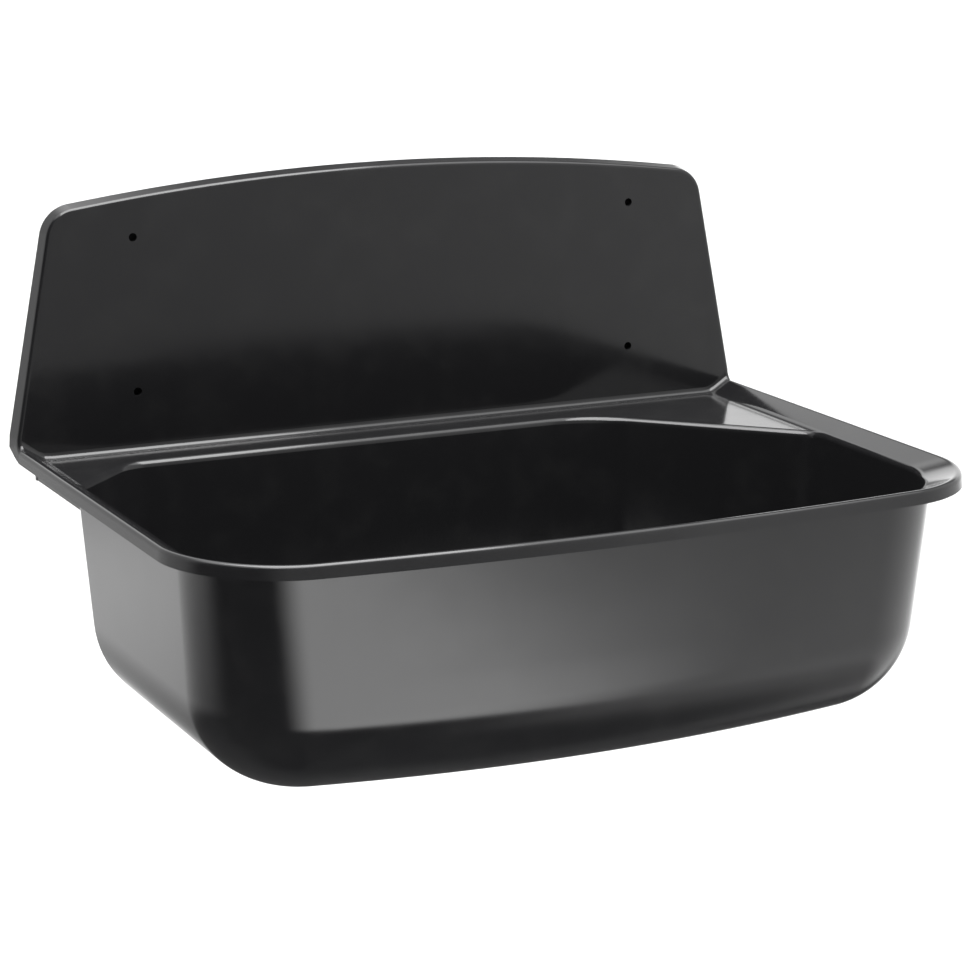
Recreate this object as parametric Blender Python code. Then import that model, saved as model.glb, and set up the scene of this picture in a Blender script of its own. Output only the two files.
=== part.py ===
"""Wall-hung utility tub: one black plastic moulding with a tall splash-back, and its strainer waste.

Metres, +Z up. The wall is the plane Y = 0 and the tub stands out from it towards -Y.
The origin is on the wall, in the middle of the moulding's rear foot, which bears on the wall.
"""

import math

import bmesh
import bpy
from mathutils import Vector

# ---- Overall sizes of the moulding
RIM_WIDTH = 0.501  # across the outer rim
RIM_DEPTH = 0.349  # wall to the middle of the front rim
TUB_DEPTH = 0.1490  # rim down to the underside at the foot of the walls
SPLASH_HEIGHT = 0.1595  # rim up to the top of the splash-back
WALL = 0.003  # thickness of the moulding

# ---- Rim: a flange that slopes in to the basin, and a lip turned down round its outside
RIM_CORNER = 0.064
FRONT_BOW = 0.017  # how far the front rim bulges beyond its corners
FLANGE_WIDTH = 0.0170
FLANGE_DROP = 0.0080
LIP_HEIGHT = 0.0078
LIP_FLARE = 0.0006
RIM_ROUNDING = 0.0030
CREASE_BLEND = 0.0040  # each side of the line where the flange meets the ledge

# ---- Splash-back: a shallow tray, open towards the wall
SPLASH_STANDOFF = 0.0126  # its face stands this far off the wall at rim level
SPLASH_LEAN = math.radians(1.0)
SPLASH_SIDE_SLOPE = 0.189  # each side comes in by this share of the height
SPLASH_TOP_RADIUS = 1.52
SPLASH_CORNER = 0.020
SPLASH_ROUNDING = 0.0028
SKIRT_FLARE = 0.0015
SCREW_SPREAD = 0.343  # between the left and right screw holes
SCREW_ROWS = (0.029, 0.125)  # above the rim
SCREW_HOLE = 0.0052
BOSS_DIAMETER = 0.014

# ---- Basin opening, measured on the ledge
LEDGE_DEPTH = 0.0295  # splash-back to the rear edge of the basin
LEFT_CHAMFER = 0.0443
RIGHT_CHAMFER = 0.1073
LEFT_CORNER = 0.025
RIGHT_CORNER = 0.070
BASIN_CORNER = 0.061  # front corners
LEFT_END_CORNER = 0.012  # where each chamfer meets the straight side
RIGHT_END_CORNER = 0.028
COVE = 0.0045  # where the splash-back meets the ledge
OPENING_ROUNDING = 0.0045
HIDDEN_ROUNDING = 0.0006  # the same edges on the hidden side

# ---- Basin below the opening
WALL_DRAFT = 0.078
FLOOR_FILLET = 0.0585
FLOOR_BOW = 0.005  # extra bulge of the front wall at its foot
FLOOR_FALL = 0.002

# ---- Frame under the ledge
FOOT_HEIGHT = 0.023  # the rear foot, from rim level down
FRAME_WALL = 0.003
FRAME_STEP = 0.0003  # between faces of its plates, so that none is flush with another

# ---- Waste
WASTE_FROM_WALL = 0.150
SEAT_DIAMETER = 0.078
SEAT_SINK = 0.0032
OUTLET_HOLE = 0.056
SEAL_INSIDE = 0.0565
SEAL_THICKNESS = 0.0020
LOWER_SEAL_THICKNESS = 0.0030
STRAINER_DIAMETER = 0.072
STRAINER_SHEET = 0.0010
STRAINER_DISH = 0.046
STRAINER_DISH_DEPTH = 0.0035
DRAIN_HOLE = 0.0046
BODY_FLANGE = 0.076
BODY_FLANGE_THICKNESS = 0.0040
BODY_WALL = 0.0028
FUNNEL_MOUTH = 0.060
FUNNEL_DEPTH = 0.010
SPIGOT_DIAMETER = 0.0478
SPIGOT_LENGTH = 0.018
WEB_THICKNESS = 0.0030
WEB_HEIGHT = 0.014
WEB_BOSS = 0.0140
INSERT_DIAMETER = 0.0090
INSERT_LENGTH = 0.0110
CENTRE_SCREW = 0.0060
SCREW_HEAD = 0.0120
SCREW_HEAD_HEIGHT = 0.0036
GAP = 0.0003  # between pieces that touch

# ---- How finely curves are divided
FRONT_CORNER_STEPS = 8
REAR_CORNER_STEPS = 3
CHAMFER_STEPS = 2
REAR_STEPS = 4
SIDE_STEPS = 3
FRONT_STEPS = 10
SPLASH_CORNER_STEPS = 4
FILLET_STEPS = 5
ROUNDING_STEPS = 2
COVE_STEPS = 4
ROUND_STEPS = 40

# ---- Worked out from the sizes above
RIM_Z = FOOT_HEIGHT / 2
LEDGE_Z = RIM_Z - FLANGE_DROP
FLOOR_Z = RIM_Z - TUB_DEPTH + WALL
HALF_RIM = RIM_WIDTH / 2
HALF_OPENING = HALF_RIM - FLANGE_WIDTH
REAR_EDGE_Y = -SPLASH_STANDOFF - LEDGE_DEPTH
FRONT_EDGE_Y = -RIM_DEPTH + FLANGE_WIDTH  # middle of the basin's front edge
WASTE = Vector((0.0, -WASTE_FROM_WALL, 0.0))
SPLASH_TOP_STEPS = 4 * REAR_CORNER_STEPS + 2 * CHAMFER_STEPS + REAR_STEPS + 2 - 2 * SPLASH_CORNER_STEPS
# The flange runs from the opening up to the rim's rounding, which touches it and tops out at rim level.
RUN = FLANGE_WIDTH - RIM_ROUNDING
RISE = FLANGE_DROP - RIM_ROUNDING
FLANGE_SLOPE = math.atan2(RISE, RUN) + math.asin(RIM_ROUNDING / math.hypot(RUN, RISE))
SEAT_Z = FLOOR_Z - FLOOR_FALL - SEAT_SINK


for leftover in list(bpy.data.objects):
    bpy.data.objects.remove(leftover, do_unlink=True)


def material(name, colour, roughness, metallic=0.0):
    made = bpy.data.materials.new(name)
    made.use_nodes = True
    shader = made.node_tree.nodes["Principled BSDF"]
    shader.inputs["Base Color"].default_value = (*colour, 1.0)
    shader.inputs["Roughness"].default_value = roughness
    shader.inputs["Metallic"].default_value = metallic
    return made


BLACK_PLASTIC = material("black_plastic", (0.018, 0.018, 0.019), 0.28)
GREY_PLASTIC = material("grey_plastic", (0.32, 0.33, 0.34), 0.45)
RUBBER = material("rubber", (0.03, 0.03, 0.03), 0.8)
STAINLESS = material("stainless", (0.62, 0.61, 0.59), 0.28, 1.0)
BRASS = material("brass", (0.66, 0.48, 0.2), 0.35, 1.0)


def add_object(name, mesh_builder, finish, helper=False):
    """An object from a bmesh, with its faces turned outwards."""
    bmesh.ops.recalc_face_normals(mesh_builder, faces=mesh_builder.faces)
    mesh = bpy.data.meshes.new(name)
    mesh_builder.to_mesh(mesh)
    mesh_builder.free()
    made = bpy.data.objects.new(name, mesh)
    bpy.context.collection.objects.link(made)
    mesh.materials.append(finish)
    if helper:
        made.hide_render = True
        made.display_type = "WIRE"
    else:
        mesh.shade_smooth()
        mesh.set_sharp_from_angle(angle=math.radians(35))
    return made


def combine(target, helper, operation):
    step = target.modifiers.new(helper.name, "BOOLEAN")
    step.operation = operation
    step.object = helper
    step.solver = "EXACT"


# ---- Outlines

def round_corner(before, corner, after, radius, steps):
    """Points of the arc that rounds a corner, from the side of `before` to the side of `after`."""
    back = (before - corner).normalized()
    ahead = (after - corner).normalized()
    half_angle = back.angle(ahead) / 2
    centre = corner + (back + ahead).normalized() * (radius / math.sin(half_angle))
    start = corner + back * (radius / math.tan(half_angle)) - centre
    end = corner + ahead * (radius / math.tan(half_angle)) - centre
    turn = math.atan2(start.x * end.y - start.y * end.x, start.dot(end))
    arc = []
    for i in range(steps + 1):
        c = math.cos(turn * i / steps)
        s = math.sin(turn * i / steps)
        arc.append(centre + Vector((c * start.x - s * start.y, s * start.x + c * start.y)))
    return arc


def subdivide(start, end, steps):
    """Points strictly between two points."""
    return [start.lerp(end, i / steps) for i in range(1, steps)]


def bow_front(points, half_width, rear_y, front_y, bow):
    """Bulges the front half of an outline forwards, most at the middle."""
    bowed = []
    for point in points:
        forward = max(0.0, 2 * (point.y - rear_y) / (front_y - rear_y) - 1)
        bulge = bow * (1 - min(1.0, abs(point.x) / half_width) ** 2) * forward
        bowed.append(Vector((point.x, point.y - bulge)))
    return bowed


def rim_line(inset):
    """The rim from the left chamfer's front end round the front to the right chamfer's front end."""
    half = HALF_RIM - inset
    front = -RIM_DEPTH + FRONT_BOW + inset
    left = round_corner(Vector((-half, 0)), Vector((-half, front)), Vector((0, front)),
                        RIM_CORNER - inset, FRONT_CORNER_STEPS)
    right = [Vector((-p.x, p.y)) for p in reversed(left)]
    start = Vector((-half, chamfer_end_y("left")))
    end = Vector((half, chamfer_end_y("right")))
    points = [start] + subdivide(start, left[0], SIDE_STEPS) + left
    points += subdivide(left[-1], right[0], FRONT_STEPS) + right
    points += subdivide(right[-1], end, SIDE_STEPS) + [end]
    return bow_front(points, half, start.y, front, FRONT_BOW)


def chamfer_end_y(side):
    """Where the straight side of the opening begins, in front of the chamfered rear corner."""
    if side == "left":
        return REAR_EDGE_Y - LEFT_CHAMFER - LEFT_END_CORNER * math.tan(math.radians(22.5))
    return REAR_EDGE_Y - RIGHT_CHAMFER - RIGHT_END_CORNER * math.tan(math.radians(22.5))


def basin_line(inset, shrink=0.0, depth=0.0):
    """The basin's outline moved in by `inset`; `shrink` also takes it off the corner radii.

    `depth` is 0 at the opening and 1 at the foot of the walls.

    The outline starts where the left side's straight part begins, and runs round the front first.
    """
    def radius(full):
        return max(full - shrink, 0.003)

    half = HALF_OPENING - inset
    front = FRONT_EDGE_Y + FRONT_BOW + inset
    rear = REAR_EDGE_Y - inset
    # A 45 degree side moves in by the same distance, which shortens its legs.
    short = inset * (2 - math.sqrt(2))
    left_leg = LEFT_CHAMFER - short
    right_leg = RIGHT_CHAMFER - short
    corners = [
        (Vector((-half, front)), BASIN_CORNER, FRONT_CORNER_STEPS),
        (Vector((half, front)), BASIN_CORNER, FRONT_CORNER_STEPS),
        (Vector((half, rear - right_leg)), RIGHT_END_CORNER, REAR_CORNER_STEPS),
        (Vector((half - right_leg, rear)), RIGHT_CORNER, REAR_CORNER_STEPS),
        (Vector((-half + left_leg, rear)), LEFT_CORNER, REAR_CORNER_STEPS),
        (Vector((-half, rear - left_leg)), LEFT_END_CORNER, REAR_CORNER_STEPS),
    ]
    arcs = []
    for i, (corner, full, steps) in enumerate(corners):
        arcs.append(round_corner(corners[i - 1][0], corner, corners[(i + 1) % 6][0], radius(full), steps))
    between = [FRONT_STEPS, SIDE_STEPS, CHAMFER_STEPS, REAR_STEPS, CHAMFER_STEPS]
    points = [arcs[5][-1]] + subdivide(arcs[5][-1], arcs[0][0], SIDE_STEPS)
    for i, steps in enumerate(between):
        points += arcs[i] + subdivide(arcs[i][-1], arcs[i + 1][0], steps)
    points += arcs[5][:-1]
    return bow_front(points, half, rear, front, FRONT_BOW + FLOOR_BOW * depth)


# ---- The moulding

def splash_line(offset):
    """The splash-back's outline above the rim, from right to left, as (x, height above the rim)."""
    arc_centre = SPLASH_HEIGHT - SPLASH_TOP_RADIUS
    radius = SPLASH_TOP_RADIUS - offset

    corner_height = SPLASH_HEIGHT - offset
    for _ in range(20):
        corner_height = arc_centre + math.sqrt(radius ** 2 - splash_side(corner_height, offset) ** 2)
    corner = Vector((splash_side(corner_height, offset), corner_height))
    below = Vector((splash_side(0, offset), 0))
    tangent = Vector((-(corner_height - arc_centre), corner.x)).normalized()
    right = round_corner(below, corner, corner + tangent, SPLASH_CORNER - offset, SPLASH_CORNER_STEPS)
    left = [Vector((-p.x, p.y)) for p in reversed(right)]
    points = list(right)
    for i in range(1, SPLASH_TOP_STEPS):
        x = right[-1].x + (left[0].x - right[-1].x) * i / SPLASH_TOP_STEPS
        points.append(Vector((x, arc_centre + math.sqrt(radius ** 2 - x ** 2))))
    return points + left


def splash_side(height, offset):
    """Half the splash-back's width at a height above the rim."""
    return HALF_RIM - offset - SPLASH_SIDE_SLOPE * max(0.0, height)


def splash_face(height):
    return -SPLASH_STANDOFF + height * math.tan(SPLASH_LEAN)


def outward_normals(points):
    """Normals of an open run of points, to its right as the run goes."""
    found = []
    for i in range(len(points)):
        along = points[min(i + 1, len(points) - 1)] - points[max(i - 1, 0)]
        found.append(Vector((along.y, -along.x)).normalized())
    return found


def fillet(corner, first, second, radius, steps):
    """An arc in the corner between two directions, from the first to the second."""
    first = first.normalized()
    second = second.normalized()
    half_angle = first.angle(second) / 2
    reach = radius / math.tan(half_angle)
    centre = corner + (first + second).normalized() * (radius / math.sin(half_angle))
    start = corner + first * reach - centre
    end = corner + second * reach - centre
    turn = start.angle(end)
    arc = []
    for i in range(steps + 1):
        before = math.sin(turn * (1 - i / steps))
        after = math.sin(turn * i / steps)
        arc.append(centre + (start * before + end * after) / math.sin(turn))
    return arc


class Sheet:
    """One surface of the moulding: the seen one, or the one behind it by the wall's thickness.

    Both are made of the same points in the same order, so that their edges can be joined.
    """

    def __init__(self, behind, rim_rounding, splash_rounding):
        self.behind = behind
        self.rim_rounding = rim_rounding
        self.splash_rounding = splash_rounding
        self.mesh = bmesh.new()
        self.ledge_z = LEDGE_Z - behind
        self.front_count = len(rim_line(0.0))
        self.opening = self.basin()
        self.rim_and_splash()

    def vertex(self, place):
        return self.mesh.verts.new(place)

    def strip(self, first, second):
        for a, b, c, d in zip(first, first[1:], second[1:], second):
            self.mesh.faces.new([a, b, c, d])

    def closed_strip(self, first, second):
        self.strip(first + first[:1], second + second[:1])

    def top_height(self, beyond):
        """Height of the flange or ledge, `beyond` the line where they meet."""
        d = beyond - self.behind * (1 / math.cos(FLANGE_SLOPE) - 1) / math.tan(FLANGE_SLOPE)
        if d < -CREASE_BLEND:
            rise = 0.0
        elif d < CREASE_BLEND:
            rise = (d + CREASE_BLEND) ** 2 / (4 * CREASE_BLEND)
        else:
            rise = d
        return self.ledge_z + rise * math.tan(FLANGE_SLOPE)

    def top_slope(self, beyond):
        step = 0.0001
        return math.atan((self.top_height(beyond + step) - self.top_height(beyond - step)) / (2 * step))

    def basin(self):
        """Rings from the top of the rounded opening down to the outlet hole. Returns the top one."""
        tilt = math.atan(WALL_DRAFT)
        floor = FLOOR_Z - self.behind
        turn = FLOOR_FILLET + self.behind
        foot = floor + turn * (1 - math.sin(tilt))
        height = self.ledge_z - foot
        line = basin_line(-self.behind)
        rounded = []
        for i, point in enumerate(line):
            along = line[(i + 1) % len(line)] - line[i - 1]
            normal = Vector((along.y, -along.x, 0.0)).normalized()
            beyond = self.behind
            share = 1.0
            if i >= self.front_count:
                beyond = abs(point.x) - HALF_OPENING
                share = abs(normal.x)
            slope = self.top_slope(beyond) * share
            corner = Vector((point.x, point.y, self.top_height(beyond)))
            out = normal * math.cos(slope) + Vector((0, 0, math.sin(slope)))
            down = -normal * math.sin(tilt) + Vector((0, 0, -math.cos(tilt)))
            rounded.append(fillet(corner, out, down, OPENING_ROUNDING - self.behind, ROUNDING_STEPS))
        rings = [[self.vertex(arc[k]) for arc in rounded] for k in range(ROUNDING_STEPS + 1)]

        def ring(inset, shrink, z):
            return [self.vertex((p.x, p.y, z)) for p in basin_line(inset - self.behind, shrink, 1.0)]

        rings.append(ring(WALL_DRAFT * height, 0.0, foot))
        for i in range(1, FILLET_STEPS + 1):
            angle = tilt + (math.pi / 2 - tilt) * i / FILLET_STEPS
            further = turn * (math.cos(tilt) - math.cos(angle))
            rings.append(ring(WALL_DRAFT * height + further, further, floor + turn * (1 - math.sin(angle))))
        # The floor's rings turn from the fillet's own spacing to an even one round the waste.
        bearings = [math.atan2(v.co.y - WASTE.y, v.co.x - WASTE.x) for v in rings[-1]]
        even = []
        for i, bearing in enumerate(bearings):
            angle = bearings[0] + 2 * math.pi * i / len(line)
            even.append(bearing + (angle - bearing + math.pi) % (2 * math.pi) - math.pi)

        def circle(radius, z, evenness=1.0):
            angles = [b + (e - b) * evenness for b, e in zip(bearings, even)]
            return [self.vertex((WASTE.x + radius * math.cos(a), WASTE.y + radius * math.sin(a), z))
                    for a in angles]

        seat = SEAT_DIAMETER / 2 + self.behind
        rings.append(circle(1.35 * seat, floor - 0.6 * FLOOR_FALL, 0.5))
        rings.append(circle(seat, floor - FLOOR_FALL))
        rings.append(circle(seat - SEAT_SINK / 2, SEAT_Z - self.behind))
        rings.append(circle(OUTLET_HOLE / 2, SEAT_Z - self.behind))
        for upper, lower in zip(rings, rings[1:]):
            self.closed_strip(upper, lower)
        return rings[0]

    def rim_and_splash(self):
        """Flange, ledge, cove and splash-back, then the rounded edge and the lip round them all."""
        opening = self.opening
        half = HALF_RIM - self.behind
        peak = self.ledge_z + self.behind + (half - HALF_OPENING) * math.tan(FLANGE_SLOPE)
        peak -= self.behind / math.cos(FLANGE_SLOPE)
        inward = math.cos(FLANGE_SLOPE)
        falling = -math.sin(FLANGE_SLOPE)

        # Each point of the outer edge: its sharp corner, the way into the face, the way round the side,
        # the free edge's place, and the rounding.
        edge = []
        lip_z = RIM_Z - LIP_HEIGHT
        line = rim_line(self.behind)
        for point, normal in zip(line, outward_normals(line)):
            corner = Vector((point.x, point.y, peak))
            into = Vector((-normal.x * inward, -normal.y * inward, falling))
            free = Vector((point.x + normal.x * LIP_FLARE, point.y + normal.y * LIP_FLARE, lip_z))
            edge.append((corner, into, Vector((0, 0, -1)), free, self.rim_rounding))
        edge += self.cove_edge(1, peak, inward, falling, lip_z)
        splash = splash_line(self.behind)
        for point, normal in zip(splash, outward_normals(splash)):
            corner = Vector((point.x, splash_face(point.y) + self.behind, RIM_Z + point.y))
            into = Vector((-normal.x, 0, -normal.y))
            free = Vector((point.x + normal.x * SKIRT_FLARE, 0.0, RIM_Z + point.y + normal.y * SKIRT_FLARE))
            edge.append((corner, into, Vector((0, 1, 0)), free, self.splash_rounding))
        edge += self.cove_edge(-1, peak, inward, falling, lip_z)[::-1]
        arcs = [fillet(c, into, side, r, ROUNDING_STEPS) for c, into, side, free, r in edge]
        rows = [[self.vertex(arc[k]) for arc in arcs] for k in range(ROUNDING_STEPS + 1)]
        rows.append([self.vertex(free) for c, into, side, free, r in edge])
        for inner, outer in zip(rows, rows[1:]):
            self.closed_strip(inner, outer)
        face = rows[0]

        count = self.front_count
        cove_right = face[count:count + COVE_STEPS + 1]
        top = face[count + COVE_STEPS + 1:-COVE_STEPS - 1]
        cove_left = face[-COVE_STEPS - 1:][::-1]
        self.strip(opening[:count], face[:count])

        # Columns that run back from the rear of the opening and up the splash-back
        rear = opening[count - 1:] + opening[:1]
        columns = []
        for point in rear:
            height = self.top_height(abs(point.co.x) - HALF_OPENING)
            columns.append([self.vertex(place) for place in self.cove(point.co.x, height)])
        self.strip(rear, [column[0] for column in columns])
        self.strip([face[count - 1], cove_right[0]], [rear[0], columns[0][0]])
        self.strip([rear[-1], columns[-1][0]], [face[0], cove_left[0]])
        columns = [cove_right] + columns + [cove_left]
        for first, second in zip(columns, columns[1:]):
            self.strip(first, second)
        self.strip([column[-1] for column in columns], top)

    def cove(self, x, height):
        """The arc from the ledge on to the splash-back."""
        start = Vector((x, splash_face(0) + self.behind, height))
        up = Vector((0, math.tan(SPLASH_LEAN), 1))
        return fillet(start, Vector((0, -1, 0)), up, COVE + self.behind, COVE_STEPS)

    def cove_edge(self, sign, peak, inward, falling, lip_z):
        """The outer edge where it climbs from the rim on to the splash-back."""
        middle = COVE_STEPS // 2
        found = []
        for i, place in enumerate(self.cove(0, peak)):
            x = splash_side(place.z - RIM_Z, self.behind)
            turn = math.pi / 2 * i / COVE_STEPS
            if i <= middle:
                free = Vector((x + LIP_FLARE, place.y * (1 - i / middle), lip_z))
            else:
                free = Vector((x + SKIRT_FLARE, 0.0, lip_z + (place.z - lip_z) * (i - middle) / middle))
            into = Vector((-inward, 0, falling))
            side = Vector((0, math.sin(turn), -math.cos(turn)))
            share = i / COVE_STEPS
            rounding = self.rim_rounding * (1 - share) + self.splash_rounding * share
            corner = Vector((x, place.y, place.z))
            if i == COVE_STEPS:
                into = Vector((-1, 0, -SPLASH_SIDE_SLOPE))
            for vector in (corner, free, into):
                vector.x *= sign
            found.append((corner, into, side, free, rounding))
        return found


def boundary_loops(made):
    """The sheet's open edges, as lists of vertices in order."""
    open_edges = [line for line in made.edges if line.is_boundary]
    loops = []
    used = set()
    for first in open_edges:
        if first in used:
            continue
        used.add(first)
        chain = [first.verts[0], first.verts[1]]
        while chain[-1] is not chain[0]:
            step = next(line for line in chain[-1].link_edges if line.is_boundary and line not in used)
            used.add(step)
            chain.append(step.other_vert(chain[-1]))
        loops.append(chain[:-1])
    return loops


def moulding():
    """The seen and the hidden surface, joined along the lip, the skirt and the outlet hole."""
    seen = Sheet(0.0, RIM_ROUNDING, SPLASH_ROUNDING).mesh
    hidden = Sheet(WALL, HIDDEN_ROUNDING, HIDDEN_ROUNDING).mesh
    seen.verts.index_update()
    joined = bmesh.new()
    front = [joined.verts.new(v.co) for v in seen.verts]
    back = [joined.verts.new(v.co) for v in hidden.verts]
    for face in seen.faces:
        indices = [v.index for v in face.verts]
        joined.faces.new([front[i] for i in indices])
        joined.faces.new([back[i] for i in reversed(indices)])
    for chain in boundary_loops(seen):
        for first, second in zip(chain, chain[1:] + chain[:1]):
            a = first.index
            b = second.index
            joined.faces.new([front[a], front[b], back[b], back[a]])
    seen.free()
    hidden.free()
    return joined


def box(low, high):
    made = bmesh.new()
    prism(made, [(low[0], low[1]), (high[0], low[1]), (high[0], high[1]), (low[0], high[1])], low[2], high[2])
    return made


def prism(made, outline, bottom, top):
    """An outline in plan, raised between two heights."""
    lower = [made.verts.new((p[0], p[1], bottom)) for p in outline]
    upper = [made.verts.new((p[0], p[1], top)) for p in outline]
    made.faces.new(lower[::-1])
    made.faces.new(upper)
    for i in range(len(outline)):
        j = (i + 1) % len(outline)
        made.faces.new([lower[i], lower[j], upper[j], upper[i]])


def side_plate(side):
    """One side of the frame under the ledge, from the rear foot to inside the basin's wall."""
    made = bmesh.new()
    sign = -1 if side == "left" else 1
    radius = LEFT_END_CORNER if side == "left" else RIGHT_END_CORNER
    outer = HALF_OPENING + WALL / 2
    inner = outer - FRAME_WALL + FRAME_STEP
    inside = HALF_OPENING - inner
    end = chamfer_end_y(side) + math.sqrt(2 * radius * inside - inside ** 2) + 0.3 * WALL
    rear = -FRAME_WALL / 2
    outline = [(inner, end), (outer, end + inner - outer), (outer, rear), (inner, rear)]
    prism(made, [(sign * x, y) for x, y in outline], -RIM_Z + FRAME_STEP, LEDGE_Z - WALL / 2)
    return made


def rear_foot():
    """The strip that bears on the wall."""
    end = HALF_OPENING + WALL / 2 + FRAME_STEP
    return box((-end, -FRAME_WALL, -RIM_Z), (end, 0.0, RIM_Z))


def ledge_web():
    """Carries the ledge back behind the splash-back to the rear foot."""
    end = HALF_OPENING + WALL / 2 - FRAME_STEP
    return box((-end, -SPLASH_STANDOFF + WALL / 2, LEDGE_Z - WALL + FRAME_STEP),
               (end, -FRAME_WALL / 2, LEDGE_Z - FRAME_STEP))


def at_screws(radius, into_face, rear_y, steps):
    """Four cylinders square to the wall, on the screw holes' axes, from inside the splash-back's face."""
    made = bmesh.new()
    for side in (-0.5, 0.5):
        for row in SCREW_ROWS:
            centre = Vector((side * SCREW_SPREAD, 0.0, RIM_Z + row))
            rings = []
            for y in (splash_face(row) + into_face, rear_y):
                angles = [2 * math.pi * i / steps for i in range(steps)]
                rings.append([made.verts.new(centre + Vector((radius * math.cos(a), y, radius * math.sin(a))))
                              for a in angles])
            made.faces.new(rings[0])
            made.faces.new(rings[1][::-1])
            for i in range(steps):
                j = (i + 1) % steps
                made.faces.new([rings[0][i], rings[0][j], rings[1][j], rings[1][i]])
    return made


tub = add_object("tub_shell", moulding(), BLACK_PLASTIC)
for name, piece in (("web_join", ledge_web()), ("left_plate_join", side_plate("left")),
                    ("right_plate_join", side_plate("right")), ("foot_join", rear_foot())):
    combine(tub, add_object(name, piece, BLACK_PLASTIC, helper=True), "UNION")
bosses = at_screws(BOSS_DIAMETER / 2, WALL / 2, -GAP, 24)
combine(tub, add_object("boss_join", bosses, BLACK_PLASTIC, helper=True), "UNION")
holes = at_screws(SCREW_HOLE / 2, -0.02, 0.01, 20)
combine(tub, add_object("hole_cut", holes, BLACK_PLASTIC, helper=True), "DIFFERENCE")


# ---- Waste fitting

def turned(outline, steps=ROUND_STEPS):
    """A ring about the waste's axis, from its closed outline as (radius, height)."""
    made = bmesh.new()
    rings = []
    for radius, z in outline:
        if radius == 0:
            rings.append([made.verts.new((WASTE.x, WASTE.y, z))])
            continue
        angles = [2 * math.pi * i / steps for i in range(steps)]
        rings.append([made.verts.new((WASTE.x + radius * math.cos(a), WASTE.y + radius * math.sin(a), z))
                      for a in angles])
    for first, second in zip(rings, rings[1:] + rings[:1]):
        for i in range(steps):
            j = (i + 1) % steps
            if len(first) == 1 and len(second) == 1:
                break
            if len(first) == 1:
                made.faces.new([first[0], second[i], second[j]])
            elif len(second) == 1:
                made.faces.new([first[i], first[j], second[0]])
            else:
                made.faces.new([first[i], first[j], second[j], second[i]])
    return made


def circle_at(centre, radius, steps):
    angles = [2 * math.pi * i / steps for i in range(steps)]
    return [(centre.x + radius * math.cos(a), centre.y + radius * math.sin(a)) for a in angles]


def flat_ring(inside, outside, bottom, thickness):
    top = bottom + thickness
    return turned([(inside, bottom), (outside, bottom), (outside, top), (inside, top)])


# The stack is set out upwards and downwards from the seat in the basin's floor.
PLATE_Z = SEAT_Z + SEAL_THICKNESS + 2 * GAP
DISH_Z = PLATE_Z + STRAINER_SHEET - STRAINER_DISH_DEPTH  # upper face of the dished middle
BODY_TOP = SEAT_Z - WALL - LOWER_SEAL_THICKNESS - 2 * GAP
SPIGOT_TOP = BODY_TOP - FUNNEL_DEPTH
WEB_TOP = SPIGOT_TOP - 0.001
OUTLET_Z = SPIGOT_TOP - SPIGOT_LENGTH
SPIGOT_INSIDE = SPIGOT_DIAMETER / 2 - BODY_WALL

upper_seal = flat_ring(SEAL_INSIDE / 2, STRAINER_DIAMETER / 2 - 0.001, SEAT_Z + GAP, SEAL_THICKNESS)
add_object("upper_seal", upper_seal, RUBBER)

lower_seal = flat_ring(SEAL_INSIDE / 2, BODY_FLANGE / 2 - 0.001, BODY_TOP + GAP, LOWER_SEAL_THICKNESS)
add_object("lower_seal", lower_seal, RUBBER)

# Strainer: a pressed sheet with a flat rim, a dished middle and rings of drain holes.
dish = STRAINER_DISH / 2
slope = STRAINER_DISH_DEPTH
plate = [(0.0, DISH_Z - STRAINER_SHEET), (dish - slope, DISH_Z - STRAINER_SHEET), (dish, PLATE_Z),
         (STRAINER_DIAMETER / 2, PLATE_Z), (STRAINER_DIAMETER / 2, PLATE_Z + STRAINER_SHEET),
         (dish, PLATE_Z + STRAINER_SHEET), (dish - slope, DISH_Z), (0.0, DISH_Z)]
strainer = add_object("strainer_plate", turned(plate), STAINLESS)
drilling = bmesh.new()
for count, ring_radius in ((6, 0.0095), (10, 0.0163)):
    for number in range(count):
        angle = 2 * math.pi * (number + 0.5) / count
        middle = WASTE + Vector((ring_radius * math.cos(angle), ring_radius * math.sin(angle), 0))
        prism(drilling, circle_at(middle, DRAIN_HOLE / 2, 16), DISH_Z - 0.01, DISH_Z + 0.01)
clearance = CENTRE_SCREW / 2 + GAP
prism(drilling, circle_at(WASTE, clearance, 24), DISH_Z - 0.01, DISH_Z + 0.01)
combine(strainer, add_object("strainer_cut", drilling, STAINLESS, helper=True), "DIFFERENCE")

# Body: flange, funnel and spigot in one, with a cross inside that carries the threaded insert.
flange = BODY_FLANGE / 2
body = [(SPIGOT_INSIDE, OUTLET_Z), (SPIGOT_DIAMETER / 2, OUTLET_Z), (SPIGOT_DIAMETER / 2, SPIGOT_TOP),
        (FUNNEL_MOUTH / 2 + BODY_WALL, BODY_TOP - BODY_FLANGE_THICKNESS),
        (flange, BODY_TOP - BODY_FLANGE_THICKNESS), (flange, BODY_TOP), (FUNNEL_MOUTH / 2, BODY_TOP),
        (SPIGOT_INSIDE, SPIGOT_TOP)]
waste_body = add_object("waste_body", turned(body), GREY_PLASTIC)
reach = SPIGOT_INSIDE + BODY_WALL / 2
half_web = WEB_THICKNESS / 2
arms = bmesh.new()
cross = [(reach, half_web), (half_web, half_web), (half_web, reach), (-half_web, reach),
         (-half_web, half_web), (-reach, half_web), (-reach, -half_web), (-half_web, -half_web),
         (-half_web, -reach), (half_web, -reach), (half_web, -half_web), (reach, -half_web)]
prism(arms, [(WASTE.x + x, WASTE.y + y) for x, y in cross], WEB_TOP - WEB_HEIGHT, WEB_TOP)
combine(waste_body, add_object("cross_join", arms, GREY_PLASTIC, helper=True), "UNION")
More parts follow.
